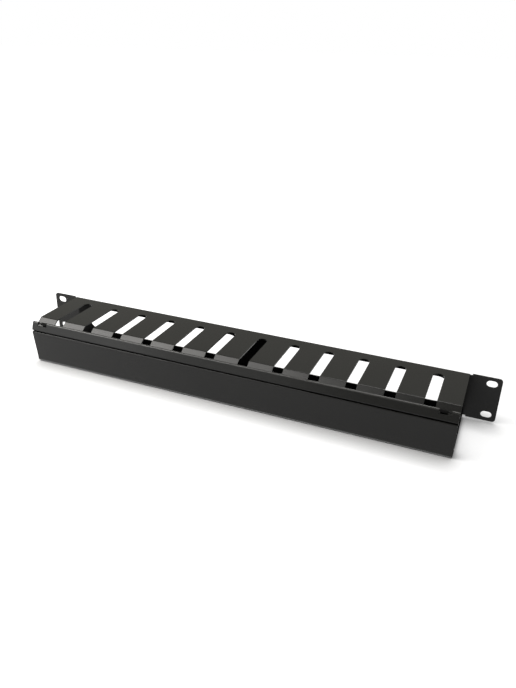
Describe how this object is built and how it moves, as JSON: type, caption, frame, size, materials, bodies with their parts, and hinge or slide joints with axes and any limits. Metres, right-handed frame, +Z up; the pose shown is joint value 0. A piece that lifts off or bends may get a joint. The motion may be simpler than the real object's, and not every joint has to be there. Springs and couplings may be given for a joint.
{
  "type": "horizontal cable manager",
  "caption": "Folded steel cable duct for the front of an equipment rack, with finger slots, cable ports and a swing-up cover.",
  "frame": {"origin": "middle of the four rack holes, on the back face of the ears", "axes": "+X along the rack panel, +Y back into the rack, +Z up"},
  "size_m": [0.4826, 0.0778, 0.0458],
  "materials": {
    "painted_steel": "satin black powder coat",
    "pin_steel": "blackened steel"
  },
  "bodies": {
    "duct": {"duct_body": "painted_steel", "hinge_leaf_right": "painted_steel", "hinge_leaf_left": "painted_steel", "hinge_pin_right": "pin_steel", "hinge_pin_left": "pin_steel"},
    "cover": {"cover": "painted_steel"}
  },
  "joints": [
    {"name": "cover_hinge", "type": "hinge", "parent": "duct", "child": "cover", "pos_m": [0, -0.0738, 0.02055], "axis": [-1, 0, 0], "range_deg": [0, 180]}
  ]
}
